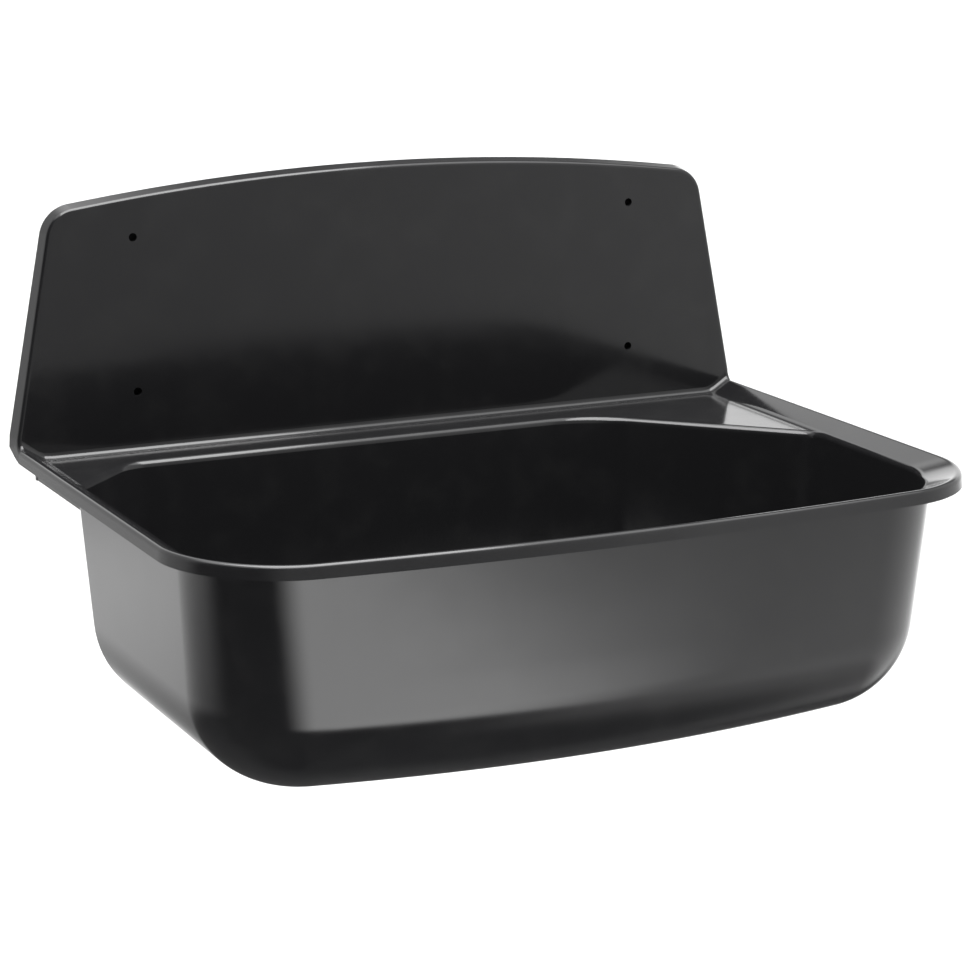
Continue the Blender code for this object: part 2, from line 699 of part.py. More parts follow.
hub = turned([(0.0, WEB_TOP - WEB_HEIGHT - GAP), (WEB_BOSS / 2, WEB_TOP - WEB_HEIGHT - GAP),
              (WEB_BOSS / 2, WEB_TOP + GAP), (0.0, WEB_TOP + GAP)], 32)
combine(waste_body, add_object("hub_join", hub, GREY_PLASTIC, helper=True), "UNION")
pocket = turned([(0.0, WEB_TOP - WEB_HEIGHT - 0.01), (clearance, WEB_TOP - WEB_HEIGHT - 0.01),
                 (clearance, WEB_TOP - INSERT_LENGTH - GAP),
                 (INSERT_DIAMETER / 2 + GAP, WEB_TOP - INSERT_LENGTH - GAP),
                 (INSERT_DIAMETER / 2 + GAP, WEB_TOP + 0.01), (0.0, WEB_TOP + 0.01)], 24)
combine(waste_body, add_object("pocket_cut", pocket, GREY_PLASTIC, helper=True), "DIFFERENCE")

insert = turned([(clearance, WEB_TOP - INSERT_LENGTH), (INSERT_DIAMETER / 2, WEB_TOP - INSERT_LENGTH),
                 (INSERT_DIAMETER / 2, WEB_TOP), (clearance, WEB_TOP)], 24)
add_object("thread_insert", insert, BRASS)

head = DISH_Z + GAP
shank = CENTRE_SCREW / 2
tip = WEB_TOP - INSERT_LENGTH - 0.001
shoulder = head + 0.4 * SCREW_HEAD_HEIGHT
crown = head + SCREW_HEAD_HEIGHT
screw = turned([(0.0, tip), (shank - 0.0006, tip), (shank, tip + 0.0006), (shank, head),
                (SCREW_HEAD / 2, head), (SCREW_HEAD / 2, shoulder),
                (0.4 * SCREW_HEAD, head + 0.8 * SCREW_HEAD_HEIGHT), (0.25 * SCREW_HEAD, crown),
                (0.0, crown)], 32)
add_object("centre_screw", screw, STAINLESS)
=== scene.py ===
"""Looks of a wall-hung utility tub: one black plastic moulding with a strainer waste in its floor.

Metres, +Z up. The wall is the plane Y = 0, the tub stands out from it towards -Y, and the origin is in
the middle of the rear foot, 11.5 mm below the rim.
"""

import math

import bmesh
import bpy
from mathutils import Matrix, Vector


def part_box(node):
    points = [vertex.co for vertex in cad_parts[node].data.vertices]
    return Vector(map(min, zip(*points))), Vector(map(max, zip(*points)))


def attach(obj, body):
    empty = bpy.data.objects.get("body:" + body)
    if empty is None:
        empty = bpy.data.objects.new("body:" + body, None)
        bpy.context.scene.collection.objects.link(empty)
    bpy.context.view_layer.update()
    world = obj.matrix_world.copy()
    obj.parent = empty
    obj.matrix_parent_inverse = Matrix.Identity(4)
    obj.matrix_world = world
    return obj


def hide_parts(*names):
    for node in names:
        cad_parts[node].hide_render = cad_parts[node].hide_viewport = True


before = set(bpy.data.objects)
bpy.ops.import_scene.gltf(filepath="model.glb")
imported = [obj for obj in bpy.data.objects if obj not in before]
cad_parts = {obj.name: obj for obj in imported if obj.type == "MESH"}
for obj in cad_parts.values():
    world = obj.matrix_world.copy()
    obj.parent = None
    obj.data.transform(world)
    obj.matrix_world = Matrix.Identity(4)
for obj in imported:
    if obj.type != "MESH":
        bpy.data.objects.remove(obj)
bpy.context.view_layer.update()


# ---- Tub moulding
# One piece of black polypropylene, injection moulded about 3 mm thick: basin, sloping rim with a
# turned-down lip, flat ledge behind the basin, and a tall splash-back. It hangs on four screws through
# the splash-back, and the box under the ledge bears on the wall.

tub_low, tub_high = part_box("tub_shell")
LIP_FLARE = 0.0006
SKIRT_FLARE = 0.0015
RIM_HALF = tub_high.x - LIP_FLARE
RIM_DEPTH = -tub_low.y - LIP_FLARE
RIM_Z = 0.0115
SPLASH_HEIGHT = tub_high.z - RIM_Z - SKIRT_FLARE
WALL = 0.003

RIM_CORNER = 0.064
FRONT_BOW = 0.017
FLANGE_WIDTH = 0.0170
FLANGE_DROP = 0.0080
LIP_HEIGHT = 0.0078
REAR_LIP_HEIGHT = 0.0022
RIM_ROUNDING = 0.0030
CREASE_BLEND = 0.0040

SPLASH_STANDOFF = 0.0126
SPLASH_LEAN = math.radians(1.0)
SPLASH_SIDE_SLOPE = 0.189
SPLASH_TOP_RADIUS = 1.52
SPLASH_CORNER = 0.020
SPLASH_ROUNDING = 0.0028
SCREW_SPREAD = 0.343
SCREW_ROWS = (0.029, 0.125)
SCREW_HOLE = 0.0052
BOSS_DIAMETER = 0.014
WEB_FRONT_Y = -0.0066  # a thin web closes each hole part of the way in, so that no light comes through
WEB_REAR = 0.0062  # from the splash-back's face

LEDGE_DEPTH = 0.0295
LEFT_CHAMFER = 0.0443
RIGHT_CHAMFER = 0.1073
LEFT_CORNER = 0.025
RIGHT_CORNER = 0.070
BASIN_CORNER = 0.061
LEFT_END_CORNER = 0.012
RIGHT_END_CORNER = 0.028
COVE = 0.0045
OPENING_ROUNDING = 0.0045
HIDDEN_ROUNDING = 0.0006

BASIN_DEPTH = 0.1460  # rim down to the foot of the fillet round the floor
WALL_DRAFT = 0.078
FLOOR_FILLET = 0.0585
FLOOR_BOW = 0.005
FLOOR_FALL = 0.002
SEAT_DIAMETER = 0.078
SEAT_SINK = 0.0032
SEAT_EDGE = 0.0012  # rounding of the recess's upper edge
SEAT_CHAMFER = 0.0006
OUTLET_HOLE = 0.056
FRAME_WALL = 0.003
FRAME_STEP = 0.0003  # keeps faces of joined shapes from coinciding
CUTTER_REACH = 0.01

FRONT_CORNER_STEPS = 28
REAR_CORNER_STEPS = 12
CHAMFER_STEPS = 6
REAR_STEPS = 14
SIDE_STEPS = 10
FRONT_STEPS = 40
SPLASH_CORNER_STEPS = 14
FILLET_STEPS = 18
ROUNDING_STEPS = 6
COVE_STEPS = 8

LEDGE_Z = RIM_Z - FLANGE_DROP
FLOOR_Z = RIM_Z - BASIN_DEPTH
SEAT_Z = FLOOR_Z - FLOOR_FALL - SEAT_SINK
HALF_OPENING = RIM_HALF - FLANGE_WIDTH
REAR_EDGE_Y = -SPLASH_STANDOFF - LEDGE_DEPTH
FRONT_EDGE_Y = -RIM_DEPTH + FLANGE_WIDTH
plate_low, plate_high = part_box("strainer_plate")
WASTE = (plate_low + plate_high) / 2
WASTE.z = 0.0
OPENING_REAR_STEPS = 4 * REAR_CORNER_STEPS + 2 * CHAMFER_STEPS + REAR_STEPS
SPLASH_TOP_STEPS = OPENING_REAR_STEPS + 2 - 2 * SPLASH_CORNER_STEPS
RUN = FLANGE_WIDTH - RIM_ROUNDING
RISE = FLANGE_DROP - RIM_ROUNDING
FLANGE_SLOPE = math.atan2(RISE, RUN) + math.asin(RIM_ROUNDING / math.hypot(RUN, RISE))


def round_corner(before, corner, after, radius, steps):
    """The arc that rounds a corner in plan."""
    back = (before - corner).normalized()
    ahead = (after - corner).normalized()
    half_angle = back.angle(ahead) / 2
    centre = corner + (back + ahead).normalized() * (radius / math.sin(half_angle))
    start = corner + back * (radius / math.tan(half_angle)) - centre
    end = corner + ahead * (radius / math.tan(half_angle)) - centre
    turn = math.atan2(start.x * end.y - start.y * end.x, start.dot(end))
    arc = []
    for i in range(steps + 1):
        c = math.cos(turn * i / steps)
        s = math.sin(turn * i / steps)
        arc.append(centre + Vector((c * start.x - s * start.y, s * start.x + c * start.y)))
    return arc


def between(start, end, steps):
    return [start.lerp(end, i / steps) for i in range(1, steps)]


def bow_front(points, half_width, rear_y, front_y, bow):
    """Bulges the front half of an outline forwards, most at the middle."""
    bowed = []
    for point in points:
        forward = max(0.0, 2 * (point.y - rear_y) / (front_y - rear_y) - 1)
        bulge = bow * (1 - min(1.0, abs(point.x) / half_width) ** 2) * forward
        bowed.append(Vector((point.x, point.y - bulge)))
    return bowed


def chamfer_end_y(side):
    """Where the rounding at the front end of a cut-off corner runs into the side."""
    tangent = math.tan(math.radians(22.5))
    if side == "left":
        return REAR_EDGE_Y - LEFT_CHAMFER - LEFT_END_CORNER * tangent
    return REAR_EDGE_Y - RIGHT_CHAMFER - RIGHT_END_CORNER * tangent


def rim_line(inset):
    """The rim from the left chamfer's front end round the front to the right chamfer's front end."""
    half = RIM_HALF - inset
    front = -RIM_DEPTH + FRONT_BOW + inset
    left = round_corner(Vector((-half, 0)), Vector((-half, front)), Vector((0, front)),
                        RIM_CORNER - inset, FRONT_CORNER_STEPS)
    right = [Vector((-p.x, p.y)) for p in reversed(left)]
    start = Vector((-half, chamfer_end_y("left")))
    end = Vector((half, chamfer_end_y("right")))
    points = [start] + between(start, left[0], SIDE_STEPS) + left
    points += between(left[-1], right[0], FRONT_STEPS) + right
    points += between(right[-1], end, SIDE_STEPS) + [end]
    return bow_front(points, half, start.y, front, FRONT_BOW)


def basin_line(inset, shrink=0.0, depth=0.0):
    """The basin's outline moved in by `inset`. Its rear corners are cut off, the right one far more."""
    least_radius = 0.003
    half = HALF_OPENING - inset
    front = FRONT_EDGE_Y + FRONT_BOW + inset
    rear = REAR_EDGE_Y - inset
    short = inset * (2 - math.sqrt(2))
    left_leg = LEFT_CHAMFER - short
    right_leg = RIGHT_CHAMFER - short
    corners = [
        (Vector((-half, front)), BASIN_CORNER, FRONT_CORNER_STEPS),
        (Vector((half, front)), BASIN_CORNER, FRONT_CORNER_STEPS),
        (Vector((half, rear - right_leg)), RIGHT_END_CORNER, REAR_CORNER_STEPS),
        (Vector((half - right_leg, rear)), RIGHT_CORNER, REAR_CORNER_STEPS),
        (Vector((-half + left_leg, rear)), LEFT_CORNER, REAR_CORNER_STEPS),
        (Vector((-half, rear - left_leg)), LEFT_END_CORNER, REAR_CORNER_STEPS),
    ]
    arcs = []
    for i, (corner, full, steps) in enumerate(corners):
        radius = max(full - shrink, least_radius)
        following = corners[(i + 1) % len(corners)][0]
        arcs.append(round_corner(corners[i - 1][0], corner, following, radius, steps))
    points = [arcs[5][-1]] + between(arcs[5][-1], arcs[0][0], SIDE_STEPS)
    for i, steps in enumerate([FRONT_STEPS, SIDE_STEPS, CHAMFER_STEPS, REAR_STEPS, CHAMFER_STEPS]):
        points += arcs[i] + between(arcs[i][-1], arcs[i + 1][0], steps)
    points += arcs[5][:-1]
    return bow_front(points, half, rear, front, FRONT_BOW + FLOOR_BOW * depth)


def splash_side(height, offset):
    return RIM_HALF - offset - SPLASH_SIDE_SLOPE * max(0.0, height)


def splash_face(height):
    return -SPLASH_STANDOFF + height * math.tan(SPLASH_LEAN)


def splash_line(offset):
    """The splash-back's edge above the rim, from right to left, as (x, height above the rim)."""
    arc_centre = SPLASH_HEIGHT - SPLASH_TOP_RADIUS
    radius = SPLASH_TOP_RADIUS - offset
    corner_height = SPLASH_HEIGHT - offset
    for _ in range(20):
        corner_height = arc_centre + math.sqrt(radius ** 2 - splash_side(corner_height, offset) ** 2)
    corner = Vector((splash_side(corner_height, offset), corner_height))
    below = Vector((splash_side(0, offset), 0))
    tangent = Vector((-(corner_height - arc_centre), corner.x)).normalized()
    right = round_corner(below, corner, corner + tangent, SPLASH_CORNER - offset, SPLASH_CORNER_STEPS)
    left = [Vector((-p.x, p.y)) for p in reversed(right)]
    points = list(right)
    for i in range(1, SPLASH_TOP_STEPS):
        x = right[-1].x + (left[0].x - right[-1].x) * i / SPLASH_TOP_STEPS
        points.append(Vector((x, arc_centre + math.sqrt(radius ** 2 - x ** 2))))
    return points + left


def normals_along(points):
    found = []
    for i in range(len(points)):
        along = points[min(i + 1, len(points) - 1)] - points[max(i - 1, 0)]
        found.append(Vector((along.y, -along.x)).normalized())
    return found


def fillet(corner, first, second, radius, steps):
    """An arc in the corner between two directions, from the first to the second."""
    first = first.normalized()
    second = second.normalized()
    half_angle = first.angle(second) / 2
    reach = radius / math.tan(half_angle)
    centre = corner + (first + second).normalized() * (radius / math.sin(half_angle))
    start = corner + first * reach - centre
    end = corner + second * reach - centre
    turn = start.angle(end)
    arc = []
    for i in range(steps + 1):
        before = math.sin(turn * (1 - i / steps))
        after = math.sin(turn * i / steps)
        arc.append(centre + (start * before + end * after) / math.sin(turn))
    return arc


class Sheet:
    """One surface of the moulding: the face side, or the back of the same plastic.

    Both have the same points in the same order, so that the lip's and the outlet's edges can be closed.
    """

    def __init__(self, behind, rim_rounding, splash_rounding):
        self.behind = behind
        self.rim_rounding = rim_rounding
        self.splash_rounding = splash_rounding
        self.mesh = bmesh.new()
        self.ledge_z = LEDGE_Z - behind
        self.front_count = len(rim_line(0.0))
        self.opening = self.basin()
        self.rim_and_splash()

    def vertex(self, place):
        return self.mesh.verts.new(place)

    def strip(self, first, second):
        for a, b, c, d in zip(first, first[1:], second[1:], second):
            self.mesh.faces.new([a, b, c, d])

    def closed_strip(self, first, second):
        self.strip(first + first[:1], second + second[:1])

    def top_height(self, beyond):
        """Height of the ledge, or of the rim's slope `beyond` the line where it leaves the ledge."""
        d = beyond - self.behind * (1 / math.cos(FLANGE_SLOPE) - 1) / math.tan(FLANGE_SLOPE)
        if d < -CREASE_BLEND:
            rise = 0.0
        elif d < CREASE_BLEND:
            rise = (d + CREASE_BLEND) ** 2 / (4 * CREASE_BLEND)
        else:
            rise = d
        return self.ledge_z + rise * math.tan(FLANGE_SLOPE)

    def top_slope(self, beyond):
        step = 0.0001
        return math.atan((self.top_height(beyond + step) - self.top_height(beyond - step)) / (2 * step))

    def basin(self):
        """Rounded edge of the opening, walls, fillet, floor and the recessed seat of the waste."""
        tilt = math.atan(WALL_DRAFT)
        floor = FLOOR_Z - self.behind
        turn = FLOOR_FILLET + self.behind
        foot = floor + turn * (1 - math.sin(tilt))
        height = self.ledge_z - foot
        line = basin_line(-self.behind)
        rounded = []
        for i, point in enumerate(line):
            along = line[(i + 1) % len(line)] - line[i - 1]
            normal = Vector((along.y, -along.x, 0.0)).normalized()
            beyond = self.behind
            share = 1.0
            if i >= self.front_count:
                beyond = abs(point.x) - HALF_OPENING
                share = abs(normal.x)
            slope = self.top_slope(beyond) * share
            corner = Vector((point.x, point.y, self.top_height(beyond)))
            out = normal * math.cos(slope) + Vector((0, 0, math.sin(slope)))
            down = -normal * math.sin(tilt) + Vector((0, 0, -math.cos(tilt)))
            rounded.append(fillet(corner, out, down, OPENING_ROUNDING - self.behind, ROUNDING_STEPS))
        rings = [[self.vertex(arc[k]) for arc in rounded] for k in range(ROUNDING_STEPS + 1)]

        def ring(share, further, z):
            outline = basin_line(WALL_DRAFT * height * share + further - self.behind, further, share)
            return [self.vertex((p.x, p.y, z)) for p in outline]

        for share in (0.25, 0.5, 0.75, 1.0):
            rings.append(ring(share, 0.0, self.ledge_z - height * share))
        for i in range(1, FILLET_STEPS + 1):
            angle = tilt + (math.pi / 2 - tilt) * i / FILLET_STEPS
            further = turn * (math.cos(tilt) - math.cos(angle))
            rings.append(ring(1.0, further, floor + turn * (1 - math.sin(angle))))

        bearings = [math.atan2(v.co.y - WASTE.y, v.co.x - WASTE.x) for v in rings[-1]]
        even = []
        for i, bearing in enumerate(bearings):
            angle = bearings[0] + 2 * math.pi * i / len(line)
            even.append(bearing + (angle - bearing + math.pi) % (2 * math.pi) - math.pi)

        def circle(radius, z, evenness=1.0):
            angles = [b + (e - b) * evenness for b, e in zip(bearings, even)]
            return [self.vertex((WASTE.x + radius * math.cos(a), WASTE.y + radius * math.sin(a), z))
                    for a in angles]

        seat = SEAT_DIAMETER / 2 + self.behind
        rings.append(circle(1.35 * seat, floor - 0.6 * FLOOR_FALL, 0.5))
        for i in range(4):
            angle = math.pi / 2 * i / 3
            rings.append(circle(seat + SEAT_EDGE * (1 - math.sin(angle)),
                                floor - FLOOR_FALL - SEAT_EDGE * (1 - math.cos(angle))))
        rings.append(circle(seat - 0.3 * SEAT_SINK, SEAT_Z + SEAT_CHAMFER - self.behind))
        rings.append(circle(seat - 0.5 * SEAT_SINK, SEAT_Z - self.behind))
        rings.append(circle(OUTLET_HOLE / 2, SEAT_Z - self.behind))
        for upper, lower in zip(rings, rings[1:]):
            self.closed_strip(upper, lower)
        return rings[0]

    def rim_and_splash(self):
        """Rim, ledge, cove and splash-back, with the rounded edge and turned-down lip round them all."""
        opening = self.opening
        half = RIM_HALF - self.behind
        peak = self.ledge_z + self.behind + (half - HALF_OPENING) * math.tan(FLANGE_SLOPE)
        peak -= self.behind / math.cos(FLANGE_SLOPE)
        inward = math.cos(FLANGE_SLOPE)
        falling = -math.sin(FLANGE_SLOPE)

        # Each point of the outer edge: its sharp corner, the way into the face, the way down the side,
        # the free edge's place, and the rounding.
        edge = []
        lip_z = RIM_Z - LIP_HEIGHT
        line = rim_line(self.behind)
        for point, normal in zip(line, normals_along(line)):
            corner = Vector((point.x, point.y, peak))
            into = Vector((-normal.x * inward, -normal.y * inward, falling))
            free = Vector((point.x + normal.x * LIP_FLARE, point.y + normal.y * LIP_FLARE, lip_z))
            edge.append((corner, into, Vector((0, 0, -1)), free, self.rim_rounding))
        edge += self.corner_edge(1, peak, inward, falling)
        splash = splash_line(self.behind)
        for point, normal in zip(splash, normals_along(splash)):
            corner = Vector((point.x, splash_face(point.y) + self.behind, RIM_Z + point.y))
            into = Vector((-normal.x, 0, -normal.y))
            flared = point + normal * SKIRT_FLARE
            free = Vector((flared.x, 0.0, RIM_Z + flared.y))
            edge.append((corner, into, Vector((0, 1, 0)), free, self.splash_rounding))
        edge += self.corner_edge(-1, peak, inward, falling)[::-1]
        arcs = [fillet(c, into, side, r, ROUNDING_STEPS) for c, into, side, free, r in edge]
        rows = [[self.vertex(arc[k]) for arc in arcs] for k in range(ROUNDING_STEPS + 1)]
        rows.append([self.vertex(free) for c, into, side, free, r in edge])
        for inner, outer in zip(rows, rows[1:]):
            self.closed_strip(inner, outer)
        face = rows[0]

        count = self.front_count
        cove_right = face[count:count + COVE_STEPS + 1]
        top = face[count + COVE_STEPS + 1:-COVE_STEPS - 1]
        cove_left = face[-COVE_STEPS - 1:][::-1]
        self.strip(opening[:count], face[:count])

        # Columns that run back from the rear of the opening, through the cove and up the splash-back
        rear = opening[count - 1:] + opening[:1]
        columns = []
        for point in rear:
            height = self.top_height(abs(point.co.x) - HALF_OPENING)
            columns.append([self.vertex(place) for place in self.cove(point.co.x, height)])
        self.strip(rear, [column[0] for column in columns])
        self.strip([face[count - 1], cove_right[0]], [rear[0], columns[0][0]])
        self.strip([rear[-1], columns[-1][0]], [face[0], cove_left[0]])
        columns = [cove_right] + columns + [cove_left]
        for first, second in zip(columns, columns[1:]):
            self.strip(first, second)
        self.strip([column[-1] for column in columns], top)

    def cove(self, x, height):
        start = Vector((x, splash_face(0) + self.behind, height))
        up = Vector((0, math.tan(SPLASH_LEAN), 1))
        return fillet(start, Vector((0, -1, 0)), up, COVE + self.behind, COVE_STEPS)

    def corner_edge(self, sign, peak, inward, falling):
        """The outer edge where it climbs from the rim on to the splash-back."""
        middle = COVE_STEPS // 2
        lip_z = RIM_Z - LIP_HEIGHT
        rear_z = RIM_Z - REAR_LIP_HEIGHT
        found = []
        for i, place in enumerate(self.cove(0, peak)):
            x = splash_side(place.z - RIM_Z, self.behind)
            turn = math.pi / 2 * i / COVE_STEPS
            share = i / COVE_STEPS
            if i <= middle:
                climb = i / middle
                free = Vector((x + LIP_FLARE, place.y * (1 - climb), lip_z + (rear_z - lip_z) * climb))
            else:
                climb = (i - middle) / middle
                free = Vector((x + SKIRT_FLARE, 0.0, rear_z + (place.z - rear_z) * climb))
            into = Vector((-inward, 0, falling))
            if i == COVE_STEPS:
                into = Vector((-1, 0, -SPLASH_SIDE_SLOPE))
            side = Vector((0, math.sin(turn), -math.cos(turn)))
            corner = Vector((x, place.y, place.z))
            for vector in (corner, free, into):
                vector.x *= sign
            rounding = self.rim_rounding * (1 - share) + self.splash_rounding * share
            found.append((corner, into, side, free, rounding))
        return found


def open_loops(made):
    """The sheet's open edges, as lists of vertices in order."""
    edges = [line for line in made.edges if line.is_boundary]
    loops = []
    used = set()
    for first in edges:
        if first in used:
            continue
        used.add(first)
        chain = [first.verts[0], first.verts[1]]
        while chain[-1] is not chain[0]:
            step = next(line for line in chain[-1].link_edges if line.is_boundary and line not in used)
            used.add(step)
            chain.append(step.other_vert(chain[-1]))
        loops.append(chain[:-1])
    return loops


def moulding():
    """Face side and back, closed along the lip and round the outlet."""
    seen = Sheet(0.0, RIM_ROUNDING, SPLASH_ROUNDING).mesh
    hidden = Sheet(WALL, HIDDEN_ROUNDING, HIDDEN_ROUNDING).mesh
    seen.verts.index_update()
    joined = bmesh.new()
    front = [joined.verts.new(v.co) for v in seen.verts]
    back = [joined.verts.new(v.co) for v in hidden.verts]
    for face in seen.faces:
        indices = [v.index for v in face.verts]
        joined.faces.new([front[i] for i in indices])
        joined.faces.new([back[i] for i in reversed(indices)])
    for chain in open_loops(seen):
        for first, second in zip(chain, chain[1:] + chain[:1]):
            a = first.index
            b = second.index
            joined.faces.new([front[a], front[b], back[b], back[a]])
    seen.free()
    hidden.free()
    return joined


def piece(name, mesh_builder):
    """An object from a bmesh, with its faces turned outwards."""
    bmesh.ops.recalc_face_normals(mesh_builder, faces=mesh_builder.faces)
    mesh = bpy.data.meshes.new(name)
    mesh_builder.to_mesh(mesh)
    mesh_builder.free()
    made = bpy.data.objects.new(name, mesh)
    bpy.context.collection.objects.link(made)
    return made


def join_or_cut(target, mesh_builder, operation):
    """Joins a shape to a piece or cuts it away, and keeps only the result."""
    helper = piece("helper", mesh_builder)
    step = target.modifiers.new("step", "BOOLEAN")
    step.operation = operation
    step.solver = "EXACT"
    step.object = helper
    graph = bpy.context.evaluated_depsgraph_get()
    result = bpy.data.meshes.new_from_object(target.evaluated_get(graph))
    old = target.data
    target.modifiers.clear()
    target.data = result
    result.name = target.name
    bpy.data.meshes.remove(old)
    bpy.data.objects.remove(helper)


def smooth(made, angle):
    made.data.shade_smooth()
    made.data.set_sharp_from_angle(angle=math.radians(angle))
    even = made.modifiers.new("even shading", "WEIGHTED_NORMAL")
    even.keep_sharp = True


def prism(made, outline, bottom, top):
    """An outline in plan, raised between two heights."""
    lower = [made.verts.new((p[0], p[1], bottom)) for p in outline]
    upper = [made.verts.new((p[0], p[1], top)) for p in outline]
    made.faces.new(lower[::-1])
    made.faces.new(upper)
    for i in range(len(outline)):
        j = (i + 1) % len(outline)
        made.faces.new([lower[i], lower[j], upper[j], upper[i]])


def block(low, high):
    made = bmesh.new()
    outline = [(low[0], low[1]), (high[0], low[1]), (high[0], high[1]), (low[0], high[1])]
    prism(made, outline, low[2], high[2])
    return made


def side_plate(side):
    """One side of the box under the ledge, from the rear foot to inside the basin's wall."""
    made = bmesh.new()
    sign = -1 if side == "left" else 1
    radius = LEFT_END_CORNER if side == "left" else RIGHT_END_CORNER
    outer = HALF_OPENING + WALL / 2
    inner = outer - FRAME_WALL + FRAME_STEP
    inside = HALF_OPENING - inner
    end = chamfer_end_y(side) + math.sqrt(2 * radius * inside - inside ** 2) + 0.3 * WALL
    rear = -FRAME_WALL / 2
    outline = [(inner, end), (outer, end + inner - outer), (outer, rear), (inner, rear)]
    prism(made, [(sign * x, y) for x, y in outline], -RIM_Z + FRAME_STEP, LEDGE_Z - WALL / 2)
    return made


def at_screws(radius, into_face, rear_y, steps):
    """Cylinders square to the wall on the four screw holes' axes."""
    made = bmesh.new()
    for side in (-0.5, 0.5):
        for row in SCREW_ROWS:
            centre = Vector((side * SCREW_SPREAD, 0.0, RIM_Z + row))
            rings = []
            for y in (splash_face(row) + into_face, rear_y):
                ring = []
                for i in range(steps):
                    angle = 2 * math.pi * i / steps
                    spoke = Vector((radius * math.cos(angle), y, radius * math.sin(angle)))
                    ring.append(made.verts.new(centre + spoke))
                rings.append(ring)
            made.faces.new(rings[0])
            made.faces.new(rings[1][::-1])
            for i in range(steps):
                j = (i + 1) % steps
                made.faces.new([rings[0][i], rings[0][j], rings[1][j], rings[1][i]])
    return made


tub = piece("tub_moulding", moulding())
frame_end = HALF_OPENING + WALL / 2
ledge_back = block((-frame_end + FRAME_STEP, -SPLASH_STANDOFF + WALL / 2, LEDGE_Z - WALL + FRAME_STEP),
                   (frame_end - FRAME_STEP, -FRAME_WALL / 2, LEDGE_Z - FRAME_STEP))
rear_foot = block((-frame_end - FRAME_STEP, -FRAME_WALL, -RIM_Z), (frame_end + FRAME_STEP, 0.0, RIM_Z))
bosses = at_screws(BOSS_DIAMETER / 2, WALL / 2, -FRAME_STEP, 48)
for part in (ledge_back, side_plate("left"), side_plate("right"), rear_foot, bosses):
    join_or_cut(tub, part, "UNION")
join_or_cut(tub, at_screws(SCREW_HOLE / 2, -2 * CUTTER_REACH, WEB_FRONT_Y, 40), "DIFFERENCE")
join_or_cut(tub, at_screws(SCREW_HOLE / 2, WEB_REAR, CUTTER_REACH, 40), "DIFFERENCE")
smooth(tub, 32)


class Wire:
    """A socket's value, so that sums on it add Math nodes."""

    def __init__(self, recipe, socket):
        self.recipe = recipe
        self.socket = socket

    def maths(self, operation, first, second):
        return self.recipe.node("ShaderNodeMath", {"operation": operation}, {0: first, 1: second})

    def __add__(self, other):
        return self.maths("ADD", self, other)

    __radd__ = __add__

    def __mul__(self, other):
        return self.maths("MULTIPLY", self, other)

    __rmul__ = __mul__

    def __sub__(self, other):
        return self.maths("SUBTRACT", self, other)

    def __rsub__(self, other):
        return self.maths("SUBTRACT", other, self)


class Recipe:
    """A tree of shader nodes."""

    def __init__(self, tree):
        self.tree = tree

    def node(self, kind, settings, sockets, output=0):
        made = self.tree.nodes.new(kind)
        for key, value in settings.items():
            setattr(made, key, value)
        for key, value in sockets.items():
            if isinstance(value, Wire):
                self.tree.links.new(value.socket, made.inputs[key])
            else:
                made.inputs[key].default_value = value
        return Wire(self, made.outputs[output])

    def mix(self, share, first, second):
        return self.node("ShaderNodeMix", {"data_type": "RGBA"}, {0: share, 6: first, 7: second}, 2)

    def ramp(self, value, start, end):
        """0 at the start value, 1 at the end value, and smooth between."""
        return self.node("ShaderNodeMapRange", {"interpolation_type": "SMOOTHSTEP"},
                         {"Value": value, "From Min": start, "From Max": end})


class Finish(Recipe):
    """A material: a Principled shader with fixed values, and nodes for what varies over the surface."""

    def __init__(self, name, **fixed):
        self.material = bpy.data.materials.new(name)
        self.material.use_nodes = True
        super().__init__(self.material.node_tree)
        self.shader = self.tree.nodes["Principled BSDF"]
        for key, value in fixed.items():
            self.shader.inputs[key.replace("_", " ")].default_value = value
        self.place = self.node("ShaderNodeTexCoord", {}, {}, "Object")

    def cloud(self, scale, detail=3.0, stretch=(1, 1, 1)):
        """Soft noise, about 0 to 1, over the piece."""
        place = self.node("ShaderNodeMapping", {}, {"Vector": self.place, "Scale": stretch})
        return self.node("ShaderNodeTexNoise", {}, {"Vector": place, "Scale": scale, "Detail": detail})

    def feed(self, **wires):
        for key, value in wires.items():
            self.tree.links.new(value.socket, self.shader.inputs[key.replace("_", " ")])

    def bump(self, height, distance, strength=1.0):
        self.feed(Normal=self.node("ShaderNodeBump", {}, {
            "Height": height, "Distance": distance, "Strength": strength}))


plastic = Finish("black_plastic", Specular_IOR_Level=0.5, IOR=1.5)
grain = plastic.cloud(900, 2.0)
ripple = plastic.cloud(14, 2.0)
dust = plastic.cloud(45, 5.0)
streak = plastic.cloud(160, 3.0, (1, 1, 0.12))
dull = plastic.ramp(dust, 0.35, 0.75) * 0.03 + plastic.ramp(streak, 0.5, 0.8) * 0.02
plastic.feed(Base_Color=plastic.mix(plastic.ramp(dust, 0.45, 0.75),
                                    (0.0108, 0.0108, 0.0115, 1), (0.0135, 0.0135, 0.0140, 1)),
             Roughness=0.11 + dull)
plastic.bump(grain * 0.02 + ripple, 0.00020, 0.3)
# Painted shade: the faces inside the screw holes and the webs across them get a darker, matte black than
# the rest of the moulding, so that the holes read as dark recesses
hole_shade = Finish("black_plastic_painted_hole_shade", Roughness=0.9, Specular_IOR_Level=0.15)
hole_shade.feed(Base_Color=hole_shade.mix(hole_shade.cloud(400), (0.004, 0.004, 0.0045, 1), (0.007, 0.007, 0.0075, 1)))
tub.data.materials.clear()
tub.data.materials.append(plastic.material)
tub.data.materials.append(hole_shade.material)
# Faces near the four screw-hole axes take the painted-shade material
for face in tub.data.polygons:
    for side in (-0.5, 0.5):
        for row in SCREW_ROWS:
            across = face.center.x - side * SCREW_SPREAD
            above = face.center.z - RIM_Z - row
            if math.hypot(across, above) < 0.51 * SCREW_HOLE:
                face.material_index = 1
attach(tub, "root")
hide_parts("tub_shell")


